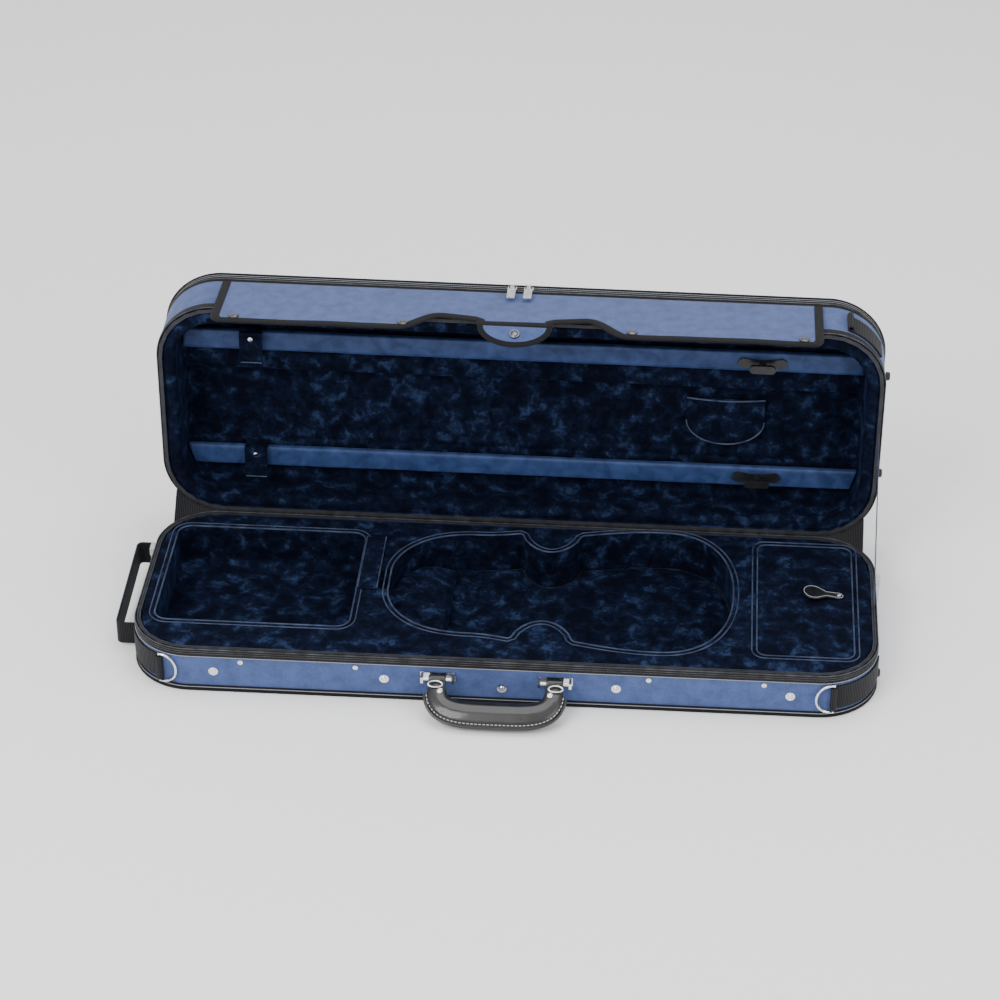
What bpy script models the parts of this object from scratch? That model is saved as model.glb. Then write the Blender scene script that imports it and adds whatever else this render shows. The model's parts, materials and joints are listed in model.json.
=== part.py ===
"""Oblong violin case, standing open.

Metres, +Z up. +X runs along the length, +Y to the hinge side. The origin is on the underside, below
the middle of the base. Lid parts are modelled in the lid's own frame, whose origin is the hinge line:
x along the hinge, y from -CASE_WIDTH (front edge) to 0 (hinge), z from 0 (rim) to LID_HEIGHT (outer
face). An empty turns that frame open.
"""

import math

import bmesh
import bpy
from mathutils import Matrix, Vector

# ---- driving dimensions
CASE_LENGTH = 0.790
CASE_WIDTH = 0.258
BASE_HEIGHT = 0.054
LID_HEIGHT = 0.078
CORNER_RADIUS = 0.064
LID_OPEN_ANGLE = math.radians(91)

# ---- build-up of the walls
GAP = 0.0003
COVER = 0.0010  # outer fabric
SHELL_INSET = COVER + GAP
SHELL_WALL = 0.004
SHELL_FLOOR = 0.003
LINING_INSET = SHELL_INSET + SHELL_WALL + GAP
TAPE_HEIGHT = 0.011  # zipper tape above and below the split
TAPE_PROUD = 0.0005
PIPING_OUT = 0.0016
PIPING_IN = 0.0009
PIPING_HEIGHT = 0.006
CORNER_STEPS = 6

HALF_LENGTH = CASE_LENGTH / 2
HALF_WIDTH = CASE_WIDTH / 2
HINGE_Y = HALF_WIDTH
HINGE_Z = BASE_HEIGHT + GAP
FRONT_Y = -HALF_WIDTH
FOAM_FLOOR = SHELL_INSET + SHELL_FLOOR + GAP
FOAM_TOP = BASE_HEIGHT - 0.0005

# ---- inside of the base
VIOLIN_AXIS_Y = 0.012
RECESS_RIGHT = 0.240
LOWER_CORNER_X = 0.071
UPPER_CORNER_X = 0.005
RECESS_LEFT = -0.132
LOWER_BOUT_HALF = 0.111
LOWER_CORNER_HALF = 0.098
WAIST_HALF = 0.064
UPPER_BOUT_HALF = 0.0915
NECK_HALF = 0.017
BED_LEFT = -0.150
BED_RIGHT = 0.256
BED_FLOOR_THICKNESS = 0.003
NECK_REST_Z = 0.031
BOX_X = (-0.374, -0.168)
BOX_Y = (-0.077, 0.097)
BOX_FLOOR_THICKNESS = 0.0025
COMPARTMENT_X = (0.265, 0.371)
COMPARTMENT_Y = (-0.098, 0.110)
COMPARTMENT_CORNER = 0.012
COMPARTMENT_LEDGE = 0.005
COMPARTMENT_LID_THICKNESS = 0.003
PULL_TAB_LIFT = math.radians(8)
STRAP_X = (-0.166, -0.144)
STRAP_Y = (-0.010, 0.090)

# ---- inside of the lid, in the lid's frame
LID_LINING_INSET = LINING_INSET + 0.014
LID_PANEL_Z = 0.063
LID_PANEL_THICKNESS = 0.006
LID_PLATE_Z = LID_PANEL_Z + LID_PANEL_THICKNESS + GAP
LID_PLATE_THICKNESS = 0.003
POCKET_PANEL_THICKNESS = 0.0015
LEDGE_Z = 0.050
UPPER_LEDGE_END_Y = -0.156
LOWER_LEDGE_END_Y = -0.067
BAR_Z = 0.036
BAR_THICKNESS = 0.008
BAR_WIDTH = 0.024
BAR_Y = {"upper": -0.199, "lower": -0.052}
BAR_END_GAP = 0.0009
BOW_LOOP_X = -0.297
BOW_LOOP_WIDTH = 0.025
SPINNER_X = 0.262
SPINNER_POST = 0.010
POCKET_ZIPPER_Z = (0.0600, 0.0717)

# ---- outside fittings
STUD_X = (-0.304, -0.124, 0.0, 0.120, 0.303)
STUD_Z = 0.0255
CENTRE_STUD_Z = 0.0195
HANDLE_CENTRE_X = -0.0055
HANDLE_HALF_SPAN = 0.0615
HANDLE_PIVOT_OUT = 0.0085
HANDLE_PIVOT_Z = 0.034
HANDLE_REST_ANGLE = math.radians(57.5)
HANDLE_REACH = 0.0385
TAB_Z = (0.011, 0.040)
LEFT_TAB_ANGLE = math.radians(26.5)
RIGHT_TAB_ANGLE = math.radians(15)
RING_REACH = 0.0185
RING_HALF_HEIGHT = 0.0174
RING_WIRE = 0.0015
FLAP_X = (-0.332, 0.327)
FLAP_TAPER = 0.004
FLAP_HINGE_Z = 0.0588
FLAP_HINGE_OUT = 0.0013
FLAP_THICKNESS = 0.0016
FLAP_LIFT = math.radians(4)
FLAP_LOW = 0.013
SCALLOP_X = (-0.0845, 0.0700)
TONGUE_X = -0.005
TONGUE_HALF_WIDTH = 0.039
TONGUE_TOP = 0.0305
TONGUE_LENGTH = 0.0265
TONGUE_DROOP = math.radians(27)
END_FOOT_RADIUS = 0.0048

COLOURS = {
    "canvas": ((0.045, 0.095, 0.30), 0.85, 0.0),
    "velvet": ((0.012, 0.020, 0.075), 0.95, 0.0),
    "flock": ((0.004, 0.006, 0.020), 0.95, 0.0),
    "satin": ((0.060, 0.130, 0.38), 0.45, 0.0),
    "webbing": ((0.012, 0.012, 0.014), 0.8, 0.0),
    "board": ((0.30, 0.22, 0.14), 0.8, 0.0),
    "leather": ((0.010, 0.010, 0.012), 0.35, 0.0),
    "chrome": ((0.75, 0.75, 0.77), 0.18, 1.0),
    "plastic": ((0.010, 0.010, 0.011), 0.35, 0.0),
    "ribbon": ((0.20, 0.27, 0.42), 0.6, 0.0),
}


# ---- tools


def clear_scene():
    for obj in list(bpy.data.objects):
        bpy.data.objects.remove(obj, do_unlink=True)


def material(name, kind):
    colour, roughness, metallic = COLOURS[kind]
    made = bpy.data.materials.new(name)
    made.use_nodes = True
    shader = made.node_tree.nodes["Principled BSDF"]
    shader.inputs["Base Color"].default_value = (*colour, 1)
    shader.inputs["Roughness"].default_value = roughness
    shader.inputs["Metallic"].default_value = metallic
    made.diffuse_color = (*colour, 1)
    return made


def add_object(name, kind, verts, faces, parent=None):
    """A closed mesh object, its faces turned outwards."""
    mesh = bpy.data.meshes.new(name)
    mesh.from_pydata([tuple(v) for v in verts], [], faces)
    shape = bmesh.new()
    shape.from_mesh(mesh)
    bmesh.ops.recalc_face_normals(shape, faces=shape.faces)
    shape.to_mesh(mesh)
    shape.free()
    mesh.shade_smooth()
    mesh.set_sharp_from_angle(angle=math.radians(35))
    obj = bpy.data.objects.new(name, mesh)
    bpy.context.scene.collection.objects.link(obj)
    if kind:
        mesh.materials.append(material(name, kind))
    if parent:
        obj.parent = parent
    return obj


def frame(name, location, rotation=(0, 0, 0), parent=None):
    """An empty that holds a joint's axis or a group's own coordinates."""
    empty = bpy.data.objects.new(name, None)
    empty.empty_display_size = 0.02
    empty.location = location
    empty.rotation_euler = rotation
    bpy.context.scene.collection.objects.link(empty)
    if parent:
        empty.parent = parent
    return empty


def arc(centre, radius, start, end, steps):
    """Points of an arc in degrees, both ends included."""
    turns = [math.radians(start + (end - start) * i / steps) for i in range(steps + 1)]
    return [(centre[0] + radius * math.cos(t), centre[1] + radius * math.sin(t)) for t in turns]


def case_outline(inset, centre_y=0.0):
    """The case's plan, from the hinge side's left corner round the front to its right corner."""
    radius = CORNER_RADIUS - inset
    cx = HALF_LENGTH - CORNER_RADIUS
    cy = HALF_WIDTH - CORNER_RADIUS
    corners = (((-cx, cy), 90), ((-cx, -cy), 180), ((cx, -cy), 270), ((cx, cy), 0))
    points = []
    for centre, start in corners:
        points += arc(centre, radius, start, start + 90, CORNER_STEPS)
    return [(x, y + centre_y) for x, y in points]


def lid_outline(inset):
    return case_outline(inset, -HALF_WIDTH)


def rounded_box(x_range, y_range, radius, steps=3):
    (x0, x1), (y0, y1) = x_range, y_range
    corners = (
        ((x1 - radius, y1 - radius), 0),
        ((x0 + radius, y1 - radius), 90),
        ((x0 + radius, y0 + radius), 180),
        ((x1 - radius, y0 + radius), 270),
    )
    points = []
    for centre, start in corners:
        points += arc(centre, radius, start, start + 90, steps)
    return points


def loft(name, kind, rings, parent=None, closed=False):
    """Skins a row of equal rings of 3-D points. Open rows get end caps; closed rows meet up."""
    count = len(rings[0])
    verts = [p for ring in rings for p in ring]
    faces = []
    pairs = len(rings) if closed else len(rings) - 1
    for r in range(pairs):
        here = r * count
        there = (r + 1) % len(rings) * count
        for i in range(count):
            j = (i + 1) % count
            faces.append((here + i, here + j, there + j, there + i))
    if not closed:
        faces.append(tuple(reversed(range(count))))
        faces.append(tuple(range(len(verts) - count, len(verts))))
    return add_object(name, kind, verts, faces, parent)


def prism(name, kind, outline, z_range, parent=None):
    """A plan outline raised along Z."""
    rings = [[(x, y, z) for x, y in outline] for z in z_range]
    return loft(name, kind, rings, parent)


def extrude_x(name, kind, profile, x_range, parent=None):
    """A (y, z) profile drawn out along X."""
    rings = [[(x, y, z) for y, z in profile] for x in x_range]
    return loft(name, kind, rings, parent)


def extrude_y(name, kind, profile, y_range, parent=None):
    """An (x, z) profile drawn out along Y."""
    rings = [[(x, y, z) for x, z in profile] for y in y_range]
    return loft(name, kind, rings, parent)


def band(name, kind, outer, inner, z_range, parent=None, closed=True):
    """A wall that follows a plan outline: a full ring, or a strip that is open at the hinge side."""
    low, high = z_range
    rings = [
        [(ox, oy, low), (ox, oy, high), (ix, iy, high), (ix, iy, low)]
        for (ox, oy), (ix, iy) in zip(outer, inner)
    ]
    return loft(name, kind, rings, parent, closed)


def tray(name, kind, outer, inner, base_z, floor_z, rim_z, parent=None):
    """A shell with a floor; base_z above rim_z turns it over."""
    count = len(outer)
    rows = [(outer, base_z), (outer, rim_z), (inner, rim_z), (inner, floor_z)]
    rings = [[(x, y, z) for x, y in line] for line, z in rows]
    assert all(len(ring) == count for ring in rings)
    return loft(name, kind, rings, parent)


def turned(name, kind, profile, place, parent=None, steps=12):
    """A (radius, height) profile turned about its own Z axis, then placed by a matrix."""
    rings = []
    for radius, height in profile:
        rings.append(
            [
                place @ Vector((radius * math.cos(t), radius * math.sin(t), height))
                for t in (2 * math.pi * i / steps for i in range(steps))
            ]
        )
    return loft(name, kind, rings, parent)


def cylinder(name, kind, start, end, radius, parent=None, steps=12):
    start, end = Vector(start), Vector(end)
    turn = (end - start).to_track_quat("Z", "Y").to_matrix().to_4x4()
    place = Matrix.Translation(start) @ turn
    return turned(name, kind, [(radius, 0), (radius, (end - start).length)], place, parent, steps)


def block(name, kind, low, high, parent=None):
    outline = [(low[0], low[1]), (high[0], low[1]), (high[0], high[1]), (low[0], high[1])]
    return prism(name, kind, outline, (low[2], high[2]), parent)


def sweep(name, kind, path, normal, half_widths, half_depths, parent=None, closed=False, sides=8):
    """An oval section carried along a flat path, whose plane has the given normal."""
    normal = Vector(normal).normalized()
    points = [Vector(p) for p in path]
    count = len(points)
    rings = []
    for i, point in enumerate(points):
        if closed:
            ahead = points[(i + 1) % count] - points[i - 1]
        else:
            ahead = points[min(i + 1, count - 1)] - points[max(i - 1, 0)]
        across = ahead.cross(normal).normalized()
        wide, deep = half_widths[i], half_depths[i]
        rings.append(
            [
                point + across * wide * math.cos(t) + normal * deep * math.sin(t)
                for t in (2 * math.pi * (k + 0.5) / sides for k in range(sides))
            ]
        )
    return loft(name, kind, rings, parent, closed)


def combine(target, other, operation):
    """Joins or cuts another shape, then discards it."""
    modifier = target.modifiers.new(operation.lower(), "BOOLEAN")
    modifier.operation = operation
    modifier.solver = "EXACT"
    modifier.object = other
    bpy.context.view_layer.update()
    graph = bpy.context.evaluated_depsgraph_get()
    result = bpy.data.meshes.new_from_object(target.evaluated_get(graph))
    target.modifiers.clear()
    old = target.data
    target.data = result
    result.shade_smooth()
    result.set_sharp_from_angle(angle=math.radians(35))
    bpy.data.meshes.remove(old)
    bpy.data.objects.remove(other, do_unlink=True)


def cut(target, cutter):
    combine(target, cutter, "DIFFERENCE")


def join(target, other):
    combine(target, other, "UNION")


# ---- base: shell and covers


def piping_section(z_range):
    """The bound edge's chamfered section as (outset, z) pairs."""
    low, high = z_range
    edge = 0.0008
    section = [
        (-PIPING_IN, low + edge),
        (-PIPING_IN + edge, low),
        (PIPING_OUT - edge, low),
        (PIPING_OUT, low + edge),
        (PIPING_OUT, high - edge),
        (PIPING_OUT - edge, high),
        (-PIPING_IN + edge, high),
        (-PIPING_IN, high - edge),
    ]
    return section


def piping(name, z_range, plan, parent=None):
    section = piping_section(z_range)
    lines = [plan(-out) for out, _ in section]
    rings = [
        [(lines[k][i][0], lines[k][i][1], section[k][1]) for k in range(len(section))]
        for i in range(len(lines[0]))
    ]
    return loft(name, "webbing", rings, parent, closed=True)


def build_base_shell():
    tray(
        "base_shell",
        "board",
        case_outline(SHELL_INSET),
        case_outline(SHELL_INSET + SHELL_WALL),
        SHELL_INSET,
        SHELL_INSET + SHELL_FLOOR,
        BASE_HEIGHT - GAP,
    )
    cover_z = (PIPING_HEIGHT + GAP, BASE_HEIGHT - TAPE_HEIGHT - GAP)
    band("base_side_cover", "canvas", case_outline(0), case_outline(COVER), cover_z)
    prism("base_bottom_cover", "webbing", case_outline(SHELL_INSET), (0, COVER))
    piping("base_bottom_piping", (0, PIPING_HEIGHT), case_outline)
    tape_z = (BASE_HEIGHT - TAPE_HEIGHT, BASE_HEIGHT)
    outer, inner = case_outline(-TAPE_PROUD)[1:-1], case_outline(COVER)[1:-1]
    band("base_zipper_tape", "webbing", outer, inner, tape_z, closed=False)


def hinge_section(x, angle):
    """The fabric hinge's folded section where the outline has turned by an angle into a corner."""
    radius = CORNER_RADIUS + 0.0011
    setback = CORNER_RADIUS - radius * math.cos(angle)
    sideways = math.copysign(radius * math.sin(abs(angle)), angle)
    leg = 0.0095
    along = Vector((math.sin(angle), math.cos(angle), 0))
    up_lid = Vector((math.sin(angle), 0, -math.cos(angle)))
    low = Vector((x + sideways, HINGE_Y - setback, HINGE_Z - 0.0008))
    high = Vector((x + sideways, HINGE_Y + 0.0010, HINGE_Z + setback))
    along_lid = Vector((0, math.sin(LID_OPEN_ANGLE), math.cos(LID_OPEN_ANGLE)))
    inner = [low - Vector((0, 0, leg)), low, high, high + along_lid * leg]
    outer = [
        inner[3] + up_lid * COVER,
        high + up_lid * COVER + along * COVER * 0.4,
        low + along * COVER + up_lid * COVER * 0.4,
        inner[0] + along * COVER,
    ]
    return [tuple(point) for point in inner + outer]


def build_hinge_side():
    """The fabric hinge, folded where the lid stands open, and the main zipper's two sliders."""
    straight = HALF_LENGTH - CORNER_RADIUS
    turned_in = [math.radians(step) for step in (52, 40, 28, 16, 6)]
    rings = [hinge_section(-straight, -angle) for angle in turned_in]
    rings += [hinge_section(x, 0.0) for x in (-straight, straight)]
    rings += [hinge_section(straight, angle) for angle in reversed(turned_in)]
    loft("rear_hinge_tape", "webbing", rings)
    for side, sign in (("left", -1), ("right", 1)):
        x, y = sign * (HALF_LENGTH + 0.0009), 0.050
        low = (min(x, x + sign * 0.005), y, BASE_HEIGHT - 0.0095)
        high = (max(x, x + sign * 0.005), y + 0.013, BASE_HEIGHT - 0.001)
        slider = block(f"main_zip_slider_{side}", "chrome", low, high)
        near, far = sorted((x + sign * 0.0030, x + sign * 0.0046))
        pull_low = (near, y + 0.003, BASE_HEIGHT - 0.032)
        join(slider, block("pull", None, pull_low, (far, y + 0.010, BASE_HEIGHT - 0.006)))


# ---- base: lining


def recess_half_width(x):
    """Half the violin recess's width at x, measured from the violin's axis."""
    if x > LOWER_CORNER_X:
        widest = 0.158
        if x < widest:
            rise = math.sin(math.pi / 2 * (x - LOWER_CORNER_X) / (widest - LOWER_CORNER_X))
            return LOWER_CORNER_HALF + (LOWER_BOUT_HALF - LOWER_CORNER_HALF) * rise
        reach = min(1.0, (x - widest) / (RECESS_RIGHT - widest))
        return LOWER_BOUT_HALF * (1 - reach**2.5) ** (1 / 2.2)
    if x > UPPER_CORNER_X:
        turn = math.pi * (x - UPPER_CORNER_X) / (LOWER_CORNER_X - UPPER_CORNER_X)
        shoulder = LOWER_CORNER_HALF
        return shoulder - (shoulder - WAIST_HALF) * math.sin(turn) ** 0.6
    widest = -0.040
    if x > widest:
        rise = math.cos(math.pi / 2 * (x - widest) / (UPPER_CORNER_X - widest))
        return LOWER_CORNER_HALF - (LOWER_CORNER_HALF - UPPER_BOUT_HALF) * rise
    reach = min(1.0, (widest - x) / (widest - RECESS_LEFT))
    return NECK_HALF + (UPPER_BOUT_HALF - NECK_HALF) * (1 - reach**2.4) ** (1 / 1.9)


def recess_stations():
    """The x positions where the recess's outline needs a point, closer together where it turns."""
    upper = [RECESS_LEFT, -0.1315, -0.129, -0.124, -0.114, -0.100, -0.082, -0.060, -0.040, -0.015]
    waist = [UPPER_CORNER_X, 0.008, 0.014, 0.025, 0.038, 0.051, 0.062, 0.068, LOWER_CORNER_X]
    lower = [0.100, 0.130, 0.158, 0.185, 0.207, 0.223, 0.233, 0.238, 0.2397, RECESS_RIGHT]
    return upper + waist + lower


def build_violin_bed():
    """Two suspension rails that leave the violin's outline between them, and the padded floor."""
    wall = HALF_WIDTH - LINING_INSET
    middle = VIOLIN_AXIS_Y
    stations = recess_stations()
    for name, side in (("violin_bed_front", -1), ("violin_bed_rear", 1)):
        inner = [(x, middle + side * recess_half_width(x)) for x in stations]
        seam = middle + side * GAP / 2
        outline = [(BED_LEFT, side * wall), (BED_LEFT, middle + side * NECK_HALF)]
        outline += inner[:-1]
        outline += [(RECESS_RIGHT, seam), (BED_RIGHT, seam), (BED_RIGHT, side * wall)]
        prism(name, "velvet", outline, (FOAM_FLOOR, FOAM_TOP))
    floor_stations = [x for x in stations if -0.130 < x < 0.2399]
    inset = 0.0006
    edge = [(x, recess_half_width(x) - inset) for x in floor_stations]
    corner_gap = 0.0008
    edge = [(x, h - (corner_gap if 0.004 < x < 0.073 else 0)) for x, h in edge]
    outline = [(x, middle - h) for x, h in edge] + [(x, middle + h) for x, h in reversed(edge)]
    bed_top = FOAM_FLOOR + BED_FLOOR_THICKNESS
    prism("violin_bed_floor", "velvet", outline, (FOAM_FLOOR, bed_top))
    build_neck_pad(bed_top)


def build_neck_pad(bed_top):
    """The cradle under the violin's neck, running down as a ramp under its upper bouts."""
    middle = VIOLIN_AXIS_Y
    neck = NECK_HALF - GAP
    foot_x, start_x, end_x = RECESS_LEFT - 0.0015, RECESS_LEFT + 0.0006, -0.064
    sections = [(BED_LEFT + GAP, neck, FOAM_FLOOR), (foot_x, neck, FOAM_FLOOR)]
    sections += [(foot_x + 0.0005, neck, bed_top + GAP), (start_x, neck, bed_top + GAP)]
    for x in (-0.129, -0.124, -0.114, -0.100, -0.082, end_x):
        sections.append((x, min(recess_half_width(x) - 0.0015, 0.078), bed_top + GAP))
    rings = []
    for x, half, base in sections:
        share = max(0.0, (x - start_x) / (end_x - start_x))
        top = NECK_REST_Z + (0.017 - NECK_REST_Z) * share
        plan = ((middle - half, base), (middle + half, base), (middle + half, top), (middle - half, top))
        rings.append([(x, y, z) for y, z in plan])
    loft("neck_pad", "velvet", rings)


def end_block(name, side, inner_x):
    """Foam that fills one end of the base, from a straight inner face to the shell's round corners."""
    points = case_outline(LINING_INSET)
    end = [p for p in points if p[0] * side > 0.3]
    outline = [(inner_x, end[-1][1])] + [(inner_x, end[0][1])] + end
    if side > 0:
        front = [p for p in end if p[1] < 0]
        rear = [p for p in end if p[1] >= 0]
        outline = [(inner_x, rear[-1][1]), (inner_x, front[0][1])] + front + rear
    return prism(name, "velvet", outline, (FOAM_FLOOR, FOAM_TOP))


def build_left_box():
    """The open box at the scroll end, with a notch for the neck in its inner wall."""
    foam = end_block("left_foam_block", -1, BED_LEFT - GAP)
    floor = FOAM_FLOOR + BOX_FLOOR_THICKNESS
    pocket = prism("pocket", None, rounded_box(BOX_X, BOX_Y, 0.014), (floor, 0.08))
    cut(foam, pocket)
    low = (BOX_X[1] - 0.006, VIOLIN_AXIS_Y - NECK_HALF, NECK_REST_Z)
    high = (BED_LEFT + 0.01, VIOLIN_AXIS_Y + NECK_HALF, 0.08)
    cut(foam, block("notch", None, low, high))


def build_right_compartment():
    """The covered box at the tail end, its hinged lid set flush in a rebate, and the lid's pull tab."""
    foam = end_block("right_foam_block", 1, BED_RIGHT + GAP)
    floor = FOAM_FLOOR + BOX_FLOOR_THICKNESS
    ledge = COMPARTMENT_LEDGE
    inner_x = (COMPARTMENT_X[0] + ledge, COMPARTMENT_X[1] - ledge)
    inner_y = (COMPARTMENT_Y[0] + ledge, COMPARTMENT_Y[1] - ledge)
    cut(foam, prism("pocket", None, rounded_box(inner_x, inner_y, 0.008), (floor, 0.08)))
    clear, corner, thick = 0.0006, COMPARTMENT_CORNER, COMPARTMENT_LID_THICKNESS
    around_x = (COMPARTMENT_X[0] - clear, COMPARTMENT_X[1] + clear)
    around_y = (COMPARTMENT_Y[0] - clear, COMPARTMENT_Y[1] + clear)
    rebate = rounded_box(around_x, around_y, corner)
    cut(foam, prism("rebate", None, rebate, (FOAM_TOP - thick - GAP, 0.08)))

    hinge = frame("compartment_lid_hinge", (COMPARTMENT_X[0], 0, FOAM_TOP))
    length = COMPARTMENT_X[1] - COMPARTMENT_X[0]
    rings = []
    for z, back in ((-thick, thick), (0, 0)):
        outline = rounded_box((back, length), COMPARTMENT_Y, corner)
        rings.append([(x, y, z) for x, y in outline])
    loft("compartment_lid", "velvet", rings, hinge)

    rise = 0.0016
    place = (0.360, 0.0135, FOAM_TOP + GAP + rise)
    tab_hinge = frame("pull_tab_hinge", place, (0, PULL_TAB_LIFT, 0))
    heel = arc((-0.0055, 0), 0.0055, -90, 90, 4)
    lobe = arc((-0.0335, 0), 0.0120, 62, 298, 10)
    outline = heel + [(-0.0180, 0.0048)] + lobe + [(-0.0180, -0.0048)]
    prism("pull_tab", "leather", outline, (-rise, 0), tab_hinge)


def build_neck_strap():
    """Padded strap over the neck, anchored at its rear end."""
    thick = 0.0028
    hinge = frame("neck_strap_hinge", (0, STRAP_Y[1], FOAM_TOP + GAP + thick))
    length = STRAP_Y[1] - STRAP_Y[0]
    outline = rounded_box(STRAP_X, (-length, 0), 0.004)
    prism("neck_strap", "velvet", outline, (-thick, 0), hinge)


# ---- base: outside fittings


def facing_front(x, z, y=FRONT_Y - GAP):
    """Places a turned shape on the front wall, its axis pointing out."""
    return Matrix.Translation((x, y, z)) @ Matrix.Rotation(math.pi / 2, 4, "X")


def build_snap_studs():
    profile = [(0.0052, 0), (0.0052, 0.0007), (0.0028, 0.0011), (0.0028, 0.0022), (0.0032, 0.0029)]
    for number, x in enumerate(STUD_X, 1):
        z = CENTRE_STUD_Z if x == 0 else STUD_Z
        turned(f"snap_stud_{number}", "chrome", profile, facing_front(x, z))


def end_foot(name, y, z, parent=None):
    turn = Matrix.Rotation(math.pi / 2, 4, "Y")
    place = Matrix.Translation((HALF_LENGTH + GAP, y, z)) @ turn
    radius = END_FOOT_RADIUS
    profile = [(radius, 0), (radius, 0.0035), (radius - 0.001, 0.0048), (0.0025, 0.0048)]
    return turned(name, "plastic", profile, place, parent)


def corner_tab(name, side, z_range, turns, parent=None, centre_y=0.0):
    """Webbing sewn round a front corner, folded back on itself into a loop at its front end."""
    cx = side * (HALF_LENGTH - CORNER_RADIUS)
    cy = -HALF_WIDTH + CORNER_RADIUS + centre_y
    inner, outer = CORNER_RADIUS + GAP, CORNER_RADIUS + GAP + 0.0022
    first, last = turns
    steps = 8
    angles = [first + (last - first) * i / steps for i in range(steps + 1)]
    lines = []
    for radius in (outer, inner):
        line = [(cx + side * radius * math.sin(a), cy - radius * math.cos(a)) for a in angles]
        lines.append(line)
    tab = band(name, "webbing", lines[0], lines[1], z_range, parent, closed=False)
    axis_x, axis_y = loop_axis(side, first, centre_y)
    low, high = z_range
    roll = cylinder("roll", None, (axis_x, axis_y, low), (axis_x, axis_y, high), 0.0036, parent)
    join(tab, roll)
    below, above = (axis_x, axis_y, low - 0.01), (axis_x, axis_y, high + 0.01)
    cut(tab, cylinder("bore", None, below, above, 0.0021, parent))
    return tab


def loop_axis(side, turn, centre_y=0.0):
    """Plan position of the axis of a corner tab's loop."""
    radius = CORNER_RADIUS + GAP + 0.0037
    cx = side * (HALF_LENGTH - CORNER_RADIUS)
    cy = -HALF_WIDTH + CORNER_RADIUS + centre_y
    return cx + side * radius * math.sin(turn), cy - radius * math.cos(turn)


def build_d_ring(side, label, turn):
    """A D-ring whose straight bar runs through its tab's loop; it lies against the front wall."""
    x, y = loop_axis(side, turn)
    lean = 0.55 * turn
    hinge = frame(f"d_ring_{label}_hinge", (x, y, sum(TAB_Z) / 2), (0, 0, side * lean))
    bar = [(0, 0, RING_HALF_HEIGHT * (1 - 2 * i / 4)) for i in range(5)]
    steps = 12
    bow = []
    for i in range(1, steps):
        t = math.pi * i / steps
        reach = -side * RING_REACH * math.sin(t) ** 0.8
        bow.append((reach, 0, -RING_HALF_HEIGHT * math.cos(t)))
    path = bar + bow
    wire = [RING_WIRE] * len(path)
    sweep(f"d_ring_{label}", "chrome", path, (0, 1, 0), wire, wire, hinge, closed=True)


def build_handle():
    """The padded grip hangs from two brackets and rests just clear of the surface."""
    pivot_y = FRONT_Y - HANDLE_PIVOT_OUT
    z = HANDLE_PIVOT_Z
    for label, side in (("left", -1), ("right", 1)):
        x = HANDLE_CENTRE_X + side * HANDLE_HALF_SPAN
        face = FRONT_Y - GAP
        low = (x - 0.0185, face - 0.0015, z - 0.0065)
        bracket = block(f"handle_bracket_{label}", "chrome", low, (x + 0.0185, face, z + 0.0037))
        for edge in (-1, 1):
            ear_x = x + edge * 0.0163
            low = (ear_x - 0.0014, pivot_y - 0.0035, z - 0.0035)
            high = (ear_x + 0.0014, face - 0.0005, z + 0.0035)
            join(bracket, block("ear", None, low, high))
        start = (x - 0.0170, pivot_y, z)
        join(bracket, cylinder("rod", None, start, (x + 0.0170, pivot_y, z), 0.0019))

    pivot = (HANDLE_CENTRE_X, pivot_y, z)
    hinge = frame("handle_hinge", pivot, (-HANDLE_REST_ANGLE, 0, 0))
    steps = 20
    path, wide, deep = [], [], []
    for i in range(steps + 1):
        t = math.pi * i / steps
        x = HANDLE_HALF_SPAN * math.copysign(abs(math.cos(t)) ** 0.5, math.cos(t))
        down = 0.003 + (HANDLE_REACH - 0.003) * math.sin(t) ** 0.55
        path.append((x, 0, -down))
        fullness = math.sin(t) ** 0.5
        wide.append(0.0085 + 0.0068 * fullness)
        deep.append(0.0030 + 0.0055 * fullness)
    grip = sweep("handle_grip", "leather", path, (0, 1, 0), wide, deep, hinge, sides=10)
    for side in (-1, 1):
        x = side * HANDLE_HALF_SPAN
        eye = cylinder("eye", None, (x - 0.0095, 0, 0), (x + 0.0095, 0, 0), 0.0048, hinge)
        join(grip, eye)
        bore = cylinder("bore", None, (x - 0.03, 0, 0), (x + 0.03, 0, 0), 0.0024, hinge)
        cut(grip, bore)


def build_end_carry_strap():
    """Webbing handle that stands off the left end, for carrying the case upright."""
    thick, stand_off, width = 0.0025, 0.0245, 0.0265
    wall = -HALF_LENGTH - GAP
    y_front, y_rear = -0.061, 0.078
    bend = 0.006
    far = wall - stand_off
    outer = [(wall, y_front)]
    outer += arc((far + bend, y_front + bend), bend, 270, 180, 4)
    outer += arc((far + bend, y_rear - bend), bend, 180, 90, 4)
    outer += [(wall, y_rear)]
    inner = [(wall, y_front + thick)]
    inner += arc((far + bend, y_front + bend), bend - thick, 270, 180, 4)
    inner += arc((far + bend, y_rear - bend), bend - thick, 180, 90, 4)
    inner += [(wall, y_rear - thick)]
    rings = []
    for (ox, oy), (ix, iy) in zip(outer, inner):
        low = 0.006 + 0.010 * (oy - y_front) / (y_rear - y_front)
        rings.append([(ox, oy, low), (ox, oy, low + width), (ix, iy, low + width), (ix, iy, low)])
    loft("end_carry_strap", "webbing", rings)


# ---- lid


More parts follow.
